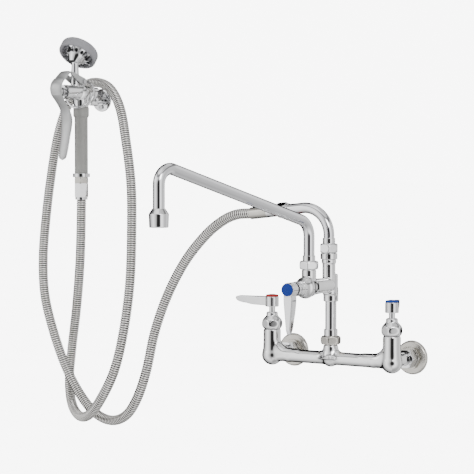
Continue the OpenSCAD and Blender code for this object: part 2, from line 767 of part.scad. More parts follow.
module spray_body() {
    color("lightgray") difference() {
        union() {
            on_cross() translate([0, 0, cross_back]) cylinder(r = cross_r, h = cross_front - cross_back);
            on_grip() translate([0, 0, grip_base + 12.1]) cylinder(r = 7.9, h = cross_z - grip_base - 12);
            on_grip() translate([0, 0, grip_top + 0.1]) cylinder(r1 = 12, r2 = 13.4, h = 14);
            on_grip() translate([0, 0, cross_z - 3]) sphere(r = 15.5);
            translate([valve_x, -spray_neck_y, cross_z])
                cylinder(r1 = neck_base_r, r2 = neck_r, h = neck_top - cross_z);
            translate([valve_x, -spray_neck_y, neck_top]) sphere(r = neck_r);
            translate([valve_x - 7, pivot_y, pivot_z]) rotate([0, 90, 0]) cylinder(r = 5.5, h = 14);
            translate([valve_x - 7, pivot_y - 5.5, cross_z]) cube([14, 11, pivot_z - cross_z]);
            on_lug() rotate([0, 90, 0]) cylinder(r = 3.8, h = 4, center = true);
            on_lug() translate([-2, -3, -12]) cube([4, 6, 12]);
        }
        on_lug() rotate([0, 90, 0]) cylinder(r = ring_wire_r + 0.4, h = 20, center = true);
        on_cross() translate([0, 0, cross_back - 1]) cylinder(r = 7.5, h = cross_front - cross_back - 10);
        on_cross() cylinder(r = 4 + run_gap, h = 200);
        on_grip() translate([0, 0, grip_base]) cylinder(r = 5.5, h = cross_z - grip_base);
        translate([valve_x, -spray_neck_y, cross_z]) cylinder(r = 3.6, h = neck_top - cross_z + 2);
        translate([valve_x, pivot_y, pivot_z]) rotate([0, 90, 0])
            cylinder(r = pin_r + seat_gap, h = 40, center = true);
    }
}

// Rear cap of the cross barrel, with the groove that drops into the hook's cradle
module seat_cap() {
    color("silver") on_cross() {
        translate([0, 0, cap_back]) cylinder(r = knob_r, h = groove_back - cap_back);
        translate([0, 0, groove_back - 1]) cylinder(r = groove_r, h = 7);
        translate([0, 0, groove_front]) cylinder(r = 10.4, h = cross_back - groove_front - 0.1);
        translate([0, 0, cross_back - 1]) cylinder(r = 7.4, h = 7);
    }
}

// Plunger pushed in by the lever, with its guide disc, cap and domed tip
module plunger() {
    color("tan") on_cross() rotate_extrude() polygon(concat([[0, 74], [7, 74], [7, 80], [4, 80],
        [4, 107.6], [7.4, 107.6], [7.4, 110.6], [4, 110.6], [4, 111.6], [6.4, 111.6], [6.4, 116],
        [4, 116.7]], [for (a = [15:15:90]) [4 * cos(a), 116.7 + 4 * sin(a)]]));
}

module return_spring() {
    turns = 7;
    color("gainsboro") on_cross() for (i = [0:turns - 1])
        translate([0, 0, 49.5 + i * 3.1]) torus(5.6, 0.7);
}

module spray_head() {
    color("silver") on_head() difference() {
        union() {
            translate([0, 0, -21]) cylinder(r1 = 8, r2 = 14, h = 9);
            translate([0, 0, -12]) cylinder(r1 = 14, r2 = 24, h = 10);
            translate([0, 0, -2]) cylinder(r = 25.4, h = 9);
            for (k = [0:11]) rotate([0, 0, 15 + 30 * k]) translate([16, -1.2, -11]) cube([8.6, 2.4, 10]);
        }
        translate([0, 0, -9]) cylinder(r1 = 11, r2 = 22, h = 9.1);
        translate([0, 0, 0]) cylinder(r = 23.6, h = 8);
        translate([0, 0, -40]) cylinder(r = 3.6, h = 40);
        for (k = [0:11]) rotate([0, 0, 30 * k]) translate([18.5, 0, -12]) cylinder(r = 2.6, h = 12);
        neck_socket();
    }
}

// Space inside the spray head that the top of the neck fills
module neck_socket() {
    rotate([head_tilt, 0, 0]) translate([0, -(spray_neck_y + head_y), 0]) union() {
        translate([0, 0, cross_z - head_z])
            cylinder(r1 = neck_base_r + seat_gap, r2 = neck_r + seat_gap, h = neck_top - cross_z);
        translate([0, 0, neck_top - head_z]) sphere(r = neck_r + seat_gap);
    }
}

module bumper() {
    color("slategray") on_head() rotate_extrude() polygon(concat([[25.5, -5], [27.5, -7]],
        arc(bumper_r - 2, -5, 2, -90, 0, 4), arc(bumper_r - 3.5, 6, 3.5, 0, 90, 5), [[25.5, 9]]));
}

module spray_face() {
    color("silver") on_head() translate([0, 0, 3]) difference() {
        cylinder(r = 23.5, h = 3);
        for (ring = [1:4], k = [0:ring * 6 - 1]) rotate([0, 0, k * 60 / ring])
            translate([ring * 5, 0, -1]) cylinder(r = 0.9, h = 6, $fn = 16);
    }
}

// Side outline of the squeeze lever in the plane of the valve: [towards the room, up]
function lever_side() = concat([[92, 433.5], [100, 432]], arc(104, 404, 20.5, 75, -28, 10),
    [[112, 382], [102, 372], [96.5, 362], [96, 352], [109, 296], [111, 290]]);
function thick_line(p, t) = concat(p, [for (i = [len(p) - 1:-1:0]) let(
    d = unit(p[min(i + 1, len(p) - 1)] - p[max(i - 1, 0)])) p[i] + t * [d[1], -d[0]]]);

module spray_lever() {
    color("darkgray") difference() {
        union() {
            intersection() {
                translate([valve_x - 20, 0, 0]) rotate([90, 0, 90]) linear_extrude(40)
                    mirror([1, 0]) polygon(thick_line(lever_side(), band_t));
                rotate([90, 0, 0]) linear_extrude(200) hull() {
                    translate([valve_x - 12, 400]) square([24, 40]);
                    translate([valve_x, 362]) circle(r = 11);
                    translate([valve_x, 296]) circle(r = 6.5);
                }
            }
            for (side = [-1, 1]) translate([valve_x + side * 10.6 - 1.4, 0, 0]) rotate([90, 0, 90])
                linear_extrude(2.8) hull() {
                    translate([pivot_y, pivot_z]) circle(r = 6);
                    translate([-98, 427]) square([8, 6.5]);
                }
        }
        translate([valve_x, pivot_y, pivot_z]) rotate([0, 90, 0])
            cylinder(r = pin_r + run_gap, h = 40, center = true);
    }
}

module lever_pin() {
    color("silver") translate([valve_x, pivot_y, pivot_z]) rotate([0, 90, 0]) {
        cylinder(r = pin_r, h = 25, center = true);
        for (side = [-1, 1]) translate([0, 0, side * 13.1]) cylinder(r = 3.4, h = 1.4, center = true);
    }
}

// Ring that hangs from its lug round the valve and swings forward to hold the lever down
module hold_ring() {
    color("gainsboro") on_lug() rotate([-ring_lean, 0, 0]) translate([0, 0, -hold_ring_r])
        rotate([90, 0, 0]) torus(hold_ring_r, ring_wire_r);
}

mixing_body();
hot_wall_flange();
cold_wall_flange();
coupling_nuts();
inlet_seals();
hot_bonnet();
hot_cartridge();
hot_spindle();
hot_moving_disc();
hot_lever();
hot_lever_screw();
hot_index();
cold_bonnet();
cold_cartridge();
cold_spindle();
cold_moving_disc();
cold_lever();
cold_lever_screw();
cold_index();
riser_nut();
riser_gland();
riser_pipe();
addon_body();
addon_bonnet();
addon_cartridge();
addon_spindle();
addon_moving_disc();
addon_lever();
addon_lever_screw();
addon_button();
nozzle_nut();
nozzle_gland();
nozzle_tube();
nozzle_o_rings();
nozzle_outlet();
aerator();
gooseneck_adapter();
gooseneck_nut();
gooseneck_gland();
gooseneck_tube();
hose_connector();
supply_ferrule();
hose();
hook_plate();
hook_screws();
hook_arm();
hose_coupling();
grip_nut();
grip_ring();
grip();
spray_body();
seat_cap();
plunger();
return_spring();
spray_head();
bumper();
spray_face();
spray_lever();
lever_pin();
hold_ring();
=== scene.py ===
"""A wall-mounted pre-rinse unit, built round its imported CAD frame. Units are metres."""
import json
import math

import bmesh
import bpy
import numpy as np
from mathutils import Matrix, Vector


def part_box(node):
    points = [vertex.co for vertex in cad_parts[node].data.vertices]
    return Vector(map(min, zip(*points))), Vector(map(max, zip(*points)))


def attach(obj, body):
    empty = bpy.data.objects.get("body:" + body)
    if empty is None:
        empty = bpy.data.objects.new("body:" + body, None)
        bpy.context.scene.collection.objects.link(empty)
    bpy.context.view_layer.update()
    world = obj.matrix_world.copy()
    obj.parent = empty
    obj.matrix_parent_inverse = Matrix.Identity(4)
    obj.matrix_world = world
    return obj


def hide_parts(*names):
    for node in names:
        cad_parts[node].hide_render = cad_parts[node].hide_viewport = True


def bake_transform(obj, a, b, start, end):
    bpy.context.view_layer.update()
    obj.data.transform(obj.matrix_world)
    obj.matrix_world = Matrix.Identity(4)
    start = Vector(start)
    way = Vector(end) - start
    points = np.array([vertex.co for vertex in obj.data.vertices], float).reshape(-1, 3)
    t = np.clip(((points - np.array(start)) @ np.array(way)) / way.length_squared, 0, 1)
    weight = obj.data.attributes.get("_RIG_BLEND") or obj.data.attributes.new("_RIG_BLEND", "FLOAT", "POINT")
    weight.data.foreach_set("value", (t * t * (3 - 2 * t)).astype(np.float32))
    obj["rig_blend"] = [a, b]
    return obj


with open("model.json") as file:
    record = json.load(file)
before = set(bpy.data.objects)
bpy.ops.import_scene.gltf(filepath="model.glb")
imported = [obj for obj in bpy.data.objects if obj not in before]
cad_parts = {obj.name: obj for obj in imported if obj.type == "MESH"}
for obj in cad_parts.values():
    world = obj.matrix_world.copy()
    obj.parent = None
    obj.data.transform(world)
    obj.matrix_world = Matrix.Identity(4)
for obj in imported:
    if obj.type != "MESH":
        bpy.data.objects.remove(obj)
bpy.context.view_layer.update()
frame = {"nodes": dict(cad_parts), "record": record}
MM = 0.001
# Degrees that the gooseneck bends through, which is also the heading of the hose as it sets off.
GOOSENECK_TURN = 96.0
BODY_OF = {node: body for body, nodes in frame["record"]["behaviour"]["bodies"].items()
           for node in nodes}
SLOT_OF = {entry["node"]: entry["material_slot"] for entry in frame["record"]["subparts"]}


# ---------- camera ----------

VIEW_AZIMUTH, VIEW_ELEVATION = 32.69, 2.55  # degrees round from the front, and above level
VIEW_TARGET = (-0.1692, -0.060, 0.1740)
VIEW_DISTANCE = 2.663
LENS_MM, SENSOR_MM = 132.1, 36.0


def make_camera():
    """A nearly level, distant view from the right-hand front."""
    azimuth, elevation = math.radians(VIEW_AZIMUTH), math.radians(VIEW_ELEVATION)
    data = bpy.data.cameras.new("camera")
    data.lens = LENS_MM
    data.sensor_width = SENSOR_MM
    camera = bpy.data.objects.new("camera", data)
    bpy.context.scene.collection.objects.link(camera)
    back = Vector((math.sin(azimuth) * math.cos(elevation),
                   -math.cos(azimuth) * math.cos(elevation),
                   math.sin(elevation)))
    camera.location = Vector(VIEW_TARGET) + back * VIEW_DISTANCE
    camera.rotation_mode = "QUATERNION"
    camera.rotation_quaternion = (-back).to_track_quat("-Z", "Y")
    bpy.context.scene.camera = camera


make_camera()


# ---------- material building blocks ----------

class Nodes:
    """Short names for the node calls that every material here uses."""

    def __init__(self, name):
        self.material = bpy.data.materials.new(name)
        self.material.use_nodes = True
        self.tree = self.material.node_tree
        self.shader = self.tree.nodes["Principled BSDF"]
        self.place = self.tree.nodes.new("ShaderNodeTexCoord").outputs["Object"]

    def add(self, kind, **values):
        node = self.tree.nodes.new(kind)
        for key, value in values.items():
            setattr(node, key, value)
        return node

    def link(self, source, target):
        self.tree.links.new(source, target)

    def stretched(self, scale):
        """The place on the object, scaled by its own factor along each axis."""
        mapping = self.add("ShaderNodeMapping")
        mapping.inputs["Scale"].default_value = scale
        self.link(self.place, mapping.inputs["Vector"])
        return mapping.outputs["Vector"]

    def noise(self, scale, detail=4.0, rough=0.5, vector=None):
        """Noise with about this many waves to a metre."""
        node = self.add("ShaderNodeTexNoise")
        node.inputs["Scale"].default_value = scale
        node.inputs["Detail"].default_value = detail
        node.inputs["Roughness"].default_value = rough
        self.link(vector or self.place, node.inputs["Vector"])
        return node.outputs["Fac"]

    def spread(self, value, low, high, start=0.3, stop=0.7):
        """Maps a noise value from start..stop to low..high."""
        node = self.add("ShaderNodeMapRange")
        for key, number in (("From Min", start), ("From Max", stop),
                            ("To Min", low), ("To Max", high)):
            node.inputs[key].default_value = number
        self.link(value, node.inputs["Value"])
        return node.outputs["Result"]

    def ramp(self, value, stops):
        """A colour that changes along a value, from (at, colour) stops."""
        node = self.add("ShaderNodeValToRGB")
        elements = node.color_ramp.elements
        while len(elements) < len(stops):
            elements.new(0.5)
        for element, (at, color) in zip(elements, stops):
            element.position = at
            element.color = (*color, 1.0)
        self.link(value, node.inputs["Fac"])
        return node.outputs["Color"]

    def bump(self, height, strength, distance):
        node = self.add("ShaderNodeBump")
        node.inputs["Strength"].default_value = strength
        node.inputs["Distance"].default_value = distance
        self.link(height, node.inputs["Height"])
        return node.outputs["Normal"]

    def set(self, **values):
        """Sets the shader's own sockets; an underscore stands for a space."""
        for key, value in values.items():
            self.shader.inputs[key.replace("_", " ")].default_value = value

    def finish(self, color=None, roughness=None, normal=None):
        for socket, source in (("Base Color", color), ("Roughness", roughness), ("Normal", normal)):
            if source is not None:
                self.link(source, self.shader.inputs[socket])
        return self.material


def tint(color, factor):
    return tuple(min(1.0, channel * factor) for channel in color)


def chrome(name, color, roughness, waviness):
    """Polished plating with faint water spots and the slight waviness of a polished casting."""
    m = Nodes(name)
    m.set(Metallic=1.0)
    spots = m.noise(900, 3)
    haze = m.noise(60, 5)
    waves = m.noise(45, 2)
    shade = m.ramp(haze, [(0.3, tint(color, 0.96)), (0.7, color)])
    rough = m.spread(spots, roughness, roughness * 1.9, 0.5, 0.75)
    return m.finish(shade, rough, m.bump(waves, waviness, 0.0006))


def satin(name, color, roughness, along):
    """Brushed metal with fine lines running along one axis (0, 1 or 2)."""
    across_lines, along_lines = 2400, 60
    m = Nodes(name)
    m.set(Metallic=1.0)
    scale = [across_lines] * 3
    scale[along] = along_lines
    lines = m.noise(1.0, 3, vector=m.stretched(scale))
    cloud = m.noise(40, 4)
    shade = m.ramp(cloud, [(0.3, tint(color, 0.9)), (0.7, tint(color, 1.05))])
    rough = m.spread(lines, roughness * 0.8, roughness * 1.25)
    return m.finish(shade, rough, m.bump(lines, 0.08, 0.00005))


def moulded(name, color, roughness, grain, depth, coat=0.0, metallic=0.0, gloss=0.5):
    """Moulded or coated surface with fine grain and faint mottling."""
    m = Nodes(name)
    m.set(Coat_Weight=coat, Coat_Roughness=0.12, Metallic=metallic, Specular_IOR_Level=gloss)
    pits = m.noise(grain, 4, 0.6)
    cloud = m.noise(35, 4)
    shade = m.ramp(cloud, [(0.3, tint(color, 0.92)), (0.7, tint(color, 1.06))])
    rough = m.spread(m.noise(220, 4), roughness * 0.85, roughness * 1.15)
    return m.finish(shade, rough, m.bump(pits, depth, 0.0003))


# Near-black painted shade for the grooves between the hose's ribs.
HOSE_GROOVE_PAINTED_SHADE = (0.02, 0.019, 0.017, 1.0)


def steel_hose(name):
    """Stainless strip, a little warm, with painted shade darkening the grooves between its ribs."""
    m = Nodes(name)
    m.set(Metallic=1.0)
    rib = m.add("ShaderNodeAttribute", attribute_name="rib")
    cloud = m.noise(30, 4)
    fine = m.noise(1500, 3)
    crest = m.ramp(cloud, [(0.3, (0.88, 0.86, 0.825)), (0.7, (0.97, 0.955, 0.93))])
    # Painted shade: the rib height from the mesh darkens the colour towards each groove.
    mix = m.add("ShaderNodeMix", data_type="RGBA")
    m.link(m.spread(rib.outputs["Fac"], 0.0, 1.0, 0.3, 0.95), mix.inputs["Factor"])
    mix.inputs["A"].default_value = HOSE_GROOVE_PAINTED_SHADE
    m.link(crest, mix.inputs["B"])
    return m.finish(mix.outputs["Result"], m.spread(fine, 0.22, 0.34), m.bump(fine, 0.15, 0.0002))


def brass(name):
    """Turned brass with fine lines round its axis."""
    m = Nodes(name)
    m.set(Metallic=1.0)
    lines = m.noise(1.0, 3, vector=m.stretched((300, 300, 3000)))
    shade = m.ramp(m.noise(80, 4), [(0.3, (0.66, 0.50, 0.26)), (0.7, (0.78, 0.62, 0.36))])
    return m.finish(shade, m.spread(lines, 0.2, 0.35), m.bump(lines, 0.2, 0.0001))


# chrome takes (colour, roughness, waviness), satin (colour, roughness, axis of its lines) and
# moulded (colour, roughness, waves of grain to a metre, depth of grain).
MATERIALS = {
    "body_chrome": chrome("body_chrome", (0.88, 0.88, 0.885), 0.07, 0.12),
    "trim_chrome": chrome("trim_chrome", (0.86, 0.86, 0.87), 0.05, 0.06),
    "pipe_chrome": chrome("pipe_chrome", (0.84, 0.84, 0.86), 0.05, 0.04),
    "lever_chrome": chrome("lever_chrome", (0.80, 0.80, 0.81), 0.08, 0.40),
    "satin_nickel": satin("satin_nickel", (0.56, 0.54, 0.50), 0.24, 2),
    "hose_steel": steel_hose("hose_steel"),
    "screw_steel": satin("screw_steel", (0.60, 0.60, 0.61), 0.25, 0),
    "brass": brass("brass"),
    "ceramic": moulded("ceramic", (0.86, 0.85, 0.82), 0.25, 900, 0.05),
    "black_rubber": moulded("black_rubber", (0.03, 0.03, 0.03), 0.6, 1400, 0.3),
    "bumper_rubber": moulded("bumper_rubber", (0.30, 0.30, 0.32), 0.6, 1600, 0.35),
    "grip_plastic": moulded("grip_plastic", (0.32, 0.32, 0.305), 0.45, 1800, 0.3),
    "lever_coating": moulded("lever_coating", (0.50, 0.505, 0.505), 0.34, 700, 0.12, coat=0.15,
                             metallic=0.6),
    "aerator_plastic": moulded("aerator_plastic", (0.30, 0.30, 0.31), 0.45, 1200, 0.2),
    "index_red": moulded("index_red", (0.46, 0.02, 0.018), 0.4, 500, 0.05, gloss=0.25),
    "index_blue": moulded("index_blue", (0.006, 0.034, 0.27), 0.4, 500, 0.05, gloss=0.2),
}


# ---------- mesh building blocks ----------

WELD_DISTANCE = 2e-6
FLAT_DEGREES = 0.6  # neighbouring CAD triangles closer than this to one plane are one face
BEVEL_DEGREES = 28  # an edge sharper than this is rounded over
EDGE_WIDTH, FLANGE_EDGE_WIDTH = 0.0005, 0.0014


def new_object(name, mesh):
    piece = bpy.data.objects.new(name, mesh)
    bpy.context.scene.collection.objects.link(piece)
    return piece


def dress(piece, node):
    """The piece stands for the node: same body, and the material of the node's slot."""
    piece.data.materials.clear()
    piece.data.materials.append(MATERIALS[SLOT_OF[node]])
    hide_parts(node)
    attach(piece, BODY_OF[node])
    return piece


def smooth_shade(mesh, sharp_degrees=34):
    mesh.polygons.foreach_set("use_smooth", [True] * len(mesh.polygons))
    mesh.set_sharp_from_angle(angle=math.radians(sharp_degrees))


def apply_modifiers(piece):
    """Turns the piece's modifiers into its mesh."""
    graph = bpy.context.evaluated_depsgraph_get()
    mesh = bpy.data.meshes.new_from_object(piece.evaluated_get(graph))
    piece.modifiers.clear()
    old = piece.data
    piece.data = mesh
    bpy.data.meshes.remove(old)
    return piece


def copy_of(node, name):
    """A welded copy of a CAD node's mesh with its flat faces whole."""
    mesh = frame["nodes"][node].data.copy()
    mesh.name = name
    work = bmesh.new()
    work.from_mesh(mesh)
    bmesh.ops.remove_doubles(work, verts=work.verts, dist=WELD_DISTANCE)
    bmesh.ops.dissolve_limit(work, angle_limit=math.radians(FLAT_DEGREES), verts=work.verts,
                             edges=work.edges)
    work.to_mesh(mesh)
    work.free()
    if mesh.attributes.get("custom_normal"):
        mesh.attributes.remove(mesh.attributes["custom_normal"])
    return new_object(name, mesh)


def edged(node, width):
    """The node's own shape with every sharp edge rounded over."""
    piece = copy_of(node, node + "_finish")
    bevel = piece.modifiers.new("edge", "BEVEL")
    bevel.width = width
    bevel.segments = 3
    bevel.limit_method = "ANGLE"
    bevel.angle_limit = math.radians(BEVEL_DEGREES)
    bevel.miter_outer = "MITER_ARC"
    bevel.use_clamp_overlap = True
    apply_modifiers(piece)
    smooth_shade(piece.data)
    weigh = piece.modifiers.new("normals", "WEIGHTED_NORMAL")
    weigh.keep_sharp = True
    return dress(piece, node)


def cast(node, voxel, rounds):
    """The node's shape as a casting, its edges and inner corners run together."""
    piece = copy_of(node, node + "_cast")
    remesh = piece.modifiers.new("skin", "REMESH")
    remesh.mode = "VOXEL"
    remesh.voxel_size = voxel
    relax = piece.modifiers.new("relax", "SMOOTH")
    relax.factor = 0.5
    relax.iterations = rounds
    apply_modifiers(piece)
    piece.data.polygons.foreach_set("use_smooth", [True] * len(piece.data.polygons))
    return dress(piece, node)


def mesh_from(name, points, faces):
    mesh = bpy.data.meshes.new(name)
    mesh.from_pydata([tuple(p) for p in points], [], faces)
    mesh.validate()
    mesh.update()
    return mesh


def round_the_clock(count):
    return 2 * np.pi * np.arange(count) / count


def grid_faces(rows, columns):
    """Quads between neighbouring rows of points, the columns running round."""
    return [(i * columns + k, i * columns + (k + 1) % columns,
             (i + 1) * columns + (k + 1) % columns, (i + 1) * columns + k)
            for i in range(rows - 1) for k in range(columns)]


def rod_faces(rows, columns):
    """The same, with a face across each end."""
    last = (rows - 1) * columns
    ends = [tuple(range(columns - 1, -1, -1)), tuple(range(last, last + columns))]
    return grid_faces(rows, columns) + ends


def distance_along(points):
    steps = np.linalg.norm(np.diff(points, axis=0), axis=1)
    return np.concatenate([[0], np.cumsum(steps)])


def directions(points):
    """Unit vectors along a line of points."""
    travel = np.gradient(points, axis=0)
    return travel / np.linalg.norm(travel, axis=1)[:, None]


def spline(a, b, c, d, t):
    return 0.5 * (2 * b + (c - a) * t + (2 * a - 5 * b + 4 * c - d) * t * t
                  + (3 * b - a - 3 * c + d) * t ** 3)


def smooth_line(knots, steps):
    """A curve through every knot but the first and last, which only steer its two ends."""
    points = [spline(*knots[i - 1:i + 3], t)
              for i in range(1, len(knots) - 2) for t in np.arange(steps) / steps]
    return np.array([*points, knots[-2]])


# ---------- the hose ----------

HOSE_R = 0.008
FERRULE_R = 0.0091
RIB_PITCH, RIB_DEPTH = 0.0036, 0.0013
RIB_PROFILE = [0.0, 0.25, 0.86, 1.0, 0.98, 0.72]  # one rib's height, from groove to crest and down
HOSE_SIDES = 20
FREE_FROM, FREE_OVER = 0.80, 0.14  # share of its length where the hose starts to follow the valve
HOSE_ROUTE_MM = [
    (-161, -73, 209), (-187, -72, 199), (-220, -70, 176), (-258, -70, 135), (-289, -74, 81),
    (-308, -82, 23), (-320, -88, -38), (-338, -88, -83), (-364, -82, -113), (-398, -75, -125),
    (-434, -70, -117), (-467, -67, -90), (-495, -70, -45), (-517, -75, 14), (-534, -75, 72),
    (-545, -65, 133), (-552, -48, 199), (-555, -31, 265), (-551, -18, 331), (-536, -11, 381),
    (-511, -11, 408), (-477, -15, 419), (-439, -24, 409), (-406, -40, 376), (-385, -53, 325),
    (-368, -62, 253), (-357, -76, 176), (-349, -92, 98), (-351, -106, 24), (-364, -113, -38),
    (-391, -113, -86), (-424, -101, -115), (-459, -82, -121), (-490, -61, -105), (-508, -44, -69),
    (-510, -34, -17), (-499, -35, 53), (-483, -46, 133)]


def evenly_spaced(points, spacing):
    """The polyline's points again, evenly spaced, and its length."""
    distance = distance_along(points)
    count = int(round(distance[-1] / spacing))
    even = np.linspace(0, distance[-1], count + 1)
    line = np.stack([np.interp(even, distance, points[:, k]) for k in range(3)], axis=1)
    return line, distance[-1]


def hose_line():
    """The hose's centreline, from the supply ferrule's end face to the spray valve's coupling."""
    ferrule_low, ferrule_high = map(np.array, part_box("supply_ferrule"))
    coupling_low, coupling_high = map(np.array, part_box("hose_coupling"))
    turn = math.radians(GOOSENECK_TURN)
    heading = np.array([-math.sin(turn), 0, math.cos(turn)])
    lead_in, lead_out, steps = 0.03, 0.06, 24
    start = np.array([ferrule_low[0] + FERRULE_R * abs(heading[2]),
                      (ferrule_low[1] + ferrule_high[1]) / 2,
                      ferrule_low[2] + FERRULE_R * abs(heading[0])])
    end = np.array([(coupling_low[0] + coupling_high[0]) / 2,
                    (coupling_low[1] + coupling_high[1]) / 2,
                    coupling_low[2]])
    route = [np.array(p) * MM for p in HOSE_ROUTE_MM]
    before, after = start - lead_in * heading, end + np.array([0, 0, lead_out])
    return smooth_line([before, start, *route, end, after], steps)


def make_hose():
    """Strip-wound hose: round ribs with a sharp groove between them."""
    line, length = evenly_spaced(hose_line(), RIB_PITCH / len(RIB_PROFILE))
    tangents = directions(line)
    side = np.cross(tangents, [0, 1, 0])
    side /= np.linalg.norm(side, axis=1)[:, None]
    other = np.cross(tangents, side)
    angle = round_the_clock(HOSE_SIDES)
    height = np.array([RIB_PROFILE[i % len(RIB_PROFILE)] for i in range(len(line))])
    radius = HOSE_R - RIB_DEPTH * (1 - height)
    ring = (np.cos(angle)[None, :, None] * side[:, None, :]
            + np.sin(angle)[None, :, None] * other[:, None, :])
    points = (line[:, None, :] + radius[:, None, None] * ring).reshape(-1, 3)
    mesh = mesh_from("steel_hose", points, rod_faces(len(line), HOSE_SIDES))
    mesh.polygons.foreach_set("use_smooth", [True] * len(mesh.polygons))
    # The rib height also masks the painted groove shade in the hose material.
    rib = mesh.attributes.new("rib", "FLOAT", "POINT")
    rib.data.foreach_set("value", np.repeat(height, HOSE_SIDES).astype(np.float32))
    hose = new_object("steel_hose", mesh)
    hose.data.materials.append(MATERIALS["hose_steel"])
    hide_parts("hose")
    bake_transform(hose, "base", "spray_valve", start=tuple(line[0]), end=tuple(line[-1]))
    share = np.arange(len(line)) / (len(line) - 1)
    free = np.clip((share - FREE_FROM) / FREE_OVER, 0, 1)
    weight = np.repeat(free * free * (3 - 2 * free), HOSE_SIDES).astype(np.float32)
    mesh.attributes["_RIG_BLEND"].data.foreach_set("value", weight)
    return hose, line, length


hose, hose_path, hose_length = make_hose()


# ---------- nuts (sizes in millimetres) ----------

NUT_LEVELS, NUT_SIDES = 33, 144


def ring_solid(name, heights, outer, inner):
    """A closed ring round +Z: outer[i][k] is its radius at height i and angle k, inner its bore."""
    sides = outer.shape[1]
    angle = round_the_clock(sides)
    rims = np.vstack([np.full((1, sides), inner), outer, np.full((1, sides), inner)])
    levels = [heights[0], *heights, heights[-1]]
    points = [(r * math.cos(t), r * math.sin(t), z)
              for row, z in zip(rims, levels) for r, t in zip(row, angle)]
    count = len(levels)
    faces = grid_faces(count, sides)
    last = (count - 1) * sides
    faces += [(last + k, last + (k + 1) % sides, (k + 1) % sides, k) for k in range(sides)]
    return mesh_from(name, np.array(points) * MM, faces)


def hexagon(across, angle):
    """Distance to the side of a hexagon whose corners are at 0, 60, 120 degrees and so on."""
    return across / 2 / np.cos((angle % (math.pi / 3)) - math.pi / 6)


def soft_min(a, b, k=0.35):
    """The smaller of two sizes, running smoothly from one to the other over about k."""
    return -k * np.log(np.exp(-a / k) + np.exp(-b / k))


def make_nut(node, centre, low, high, across, bore, crown, turn=0.0):
    """A heavily chamfered hexagon nut, whose flats are left as round lands."""
    heights = np.linspace(low, high, NUT_LEVELS)
    flats = hexagon(across, round_the_clock(NUT_SIDES) + math.radians(turn))
    outer = soft_min(flats[None, :], np.array([crown(z) for z in heights])[:, None])
    piece = new_object(node + "_nut", ring_solid(node + "_nut", heights, outer, bore))
    piece.data.transform(Matrix.Translation(Vector(centre) * MM))
    smooth_shade(piece.data, 50)
    return dress(piece, node)


def lens_crown(low, high, radius, rim):
    """Crown of a nut turned from its middle down to a smaller rim at both ends."""
    middle, half = (low + high) / 2, (high - low) / 2

    def crown(z):
        share = min(abs(z - middle) / half, 1.0)
        return rim + (radius - rim) * math.sqrt(max(1 - share ** 2.2, 0.0))
    return crown


def curve_through(pairs):
    """Smooth function through (at, value) pairs."""
    at, value = np.array(pairs, float).T
    slope = np.gradient(value, at)

    def read(x):
        i = int(np.clip(np.searchsorted(at, x) - 1, 0, len(at) - 2))
        h = at[i + 1] - at[i]
        t = min(max((x - at[i]) / h, 0.0), 1.0)
        return (value[i] * (2 * t ** 3 - 3 * t ** 2 + 1) + value[i + 1] * (3 * t ** 2 - 2 * t ** 3)
                + h * slope[i] * (t ** 3 - 2 * t ** 2 + t) + h * slope[i + 1] * (t ** 3 - t ** 2))
    return read


# ---------- bent tubes (sizes in millimetres) ----------

TUBE_R, TUBE_WALL, TUBE_SIDES = 8.0, 1.2, 56


def make_tube(node, stations, place):
    """A thin bent tube through stations in an upright plane: (along, up, heading in degrees)."""
    angle = round_the_clock(TUBE_SIDES)
    points = []
    for skin in (TUBE_R, TUBE_R - TUBE_WALL):
        for along, up, heading in stations:
            turn = math.radians(heading)
            out = skin * np.cos(angle)
            points += [(along - o * math.sin(turn), skin * math.sin(t), up + o * math.cos(turn))
                       for o, t in zip(out, angle)]
    rows = len(stations)
    inner = rows * TUBE_SIDES
    last = inner - TUBE_SIDES
    outside = [face[::-1] for face in grid_faces(rows, TUBE_SIDES)]
    inside = [tuple(v + inner for v in face) for face in grid_faces(rows, TUBE_SIDES)]
    following = [(k, (k + 1) % TUBE_SIDES) for k in range(TUBE_SIDES)]
    ends = [(k, inner + k, inner + after, after) for k, after in following]
    ends += [(last + k, last + after, inner + last + after, inner + last + k)
             for k, after in following]
    mesh = mesh_from(node + "_smooth", np.array(points) * MM, outside + inside + ends)
    mesh.transform(place)
    piece = new_object(node + "_smooth", mesh)
    smooth_shade(mesh, 50)
    return dress(piece, node)


def bend_stations(cx, cz, radius, start, turn, steps):
    """Stations round a bend that turns by a signed angle in degrees."""
    stations = []
    for i in range(steps + 1):
        a = start + turn * i / steps
        stations.append((cx + radius * math.cos(math.radians(a)),
                         cz + radius * math.sin(math.radians(a)),
                         a + math.copysign(90, turn)))
    return stations


def box_mm(node):
    return [np.array(corner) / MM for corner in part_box(node)]


def make_nozzle_tube():
    """Up from the nut, round a first bend, along a rising arm, round a second bend and down."""
    base_z = box_mm("nozzle_tube")[0][2]
    pivot_low, pivot_high = box_mm("nozzle_nut")
    x0, y0 = (pivot_low[:2] + pivot_high[:2]) / 2
    reach, low_z, high_z, low_r, high_r = 305.0, 201.0, 287.0, 26.0, 21.0
    outlet_z, heading, steps = 222.0, 260, 40
    rise = math.degrees(math.atan2(high_z - low_z, reach))
    low_cut = low_r * math.tan(math.radians((90 - rise) / 2))
    high_cut = high_r * math.tan(math.radians((90 + rise) / 2))
    stations = [(0, base_z, 90)]
    stations += bend_stations(low_r, low_z - low_cut, low_r, 180, -(90 - rise), steps)
    stations += bend_stations(reach - high_r, high_z - high_cut, high_r, 90 + rise, -(90 + rise),
                              steps)
    stations += [(reach, outlet_z, -90)]
    turned = Matrix.Rotation(math.radians(heading), 4, "Z")
    return make_tube("nozzle_tube", stations, Matrix.Translation((x0 * MM, y0 * MM, 0)) @ turned)


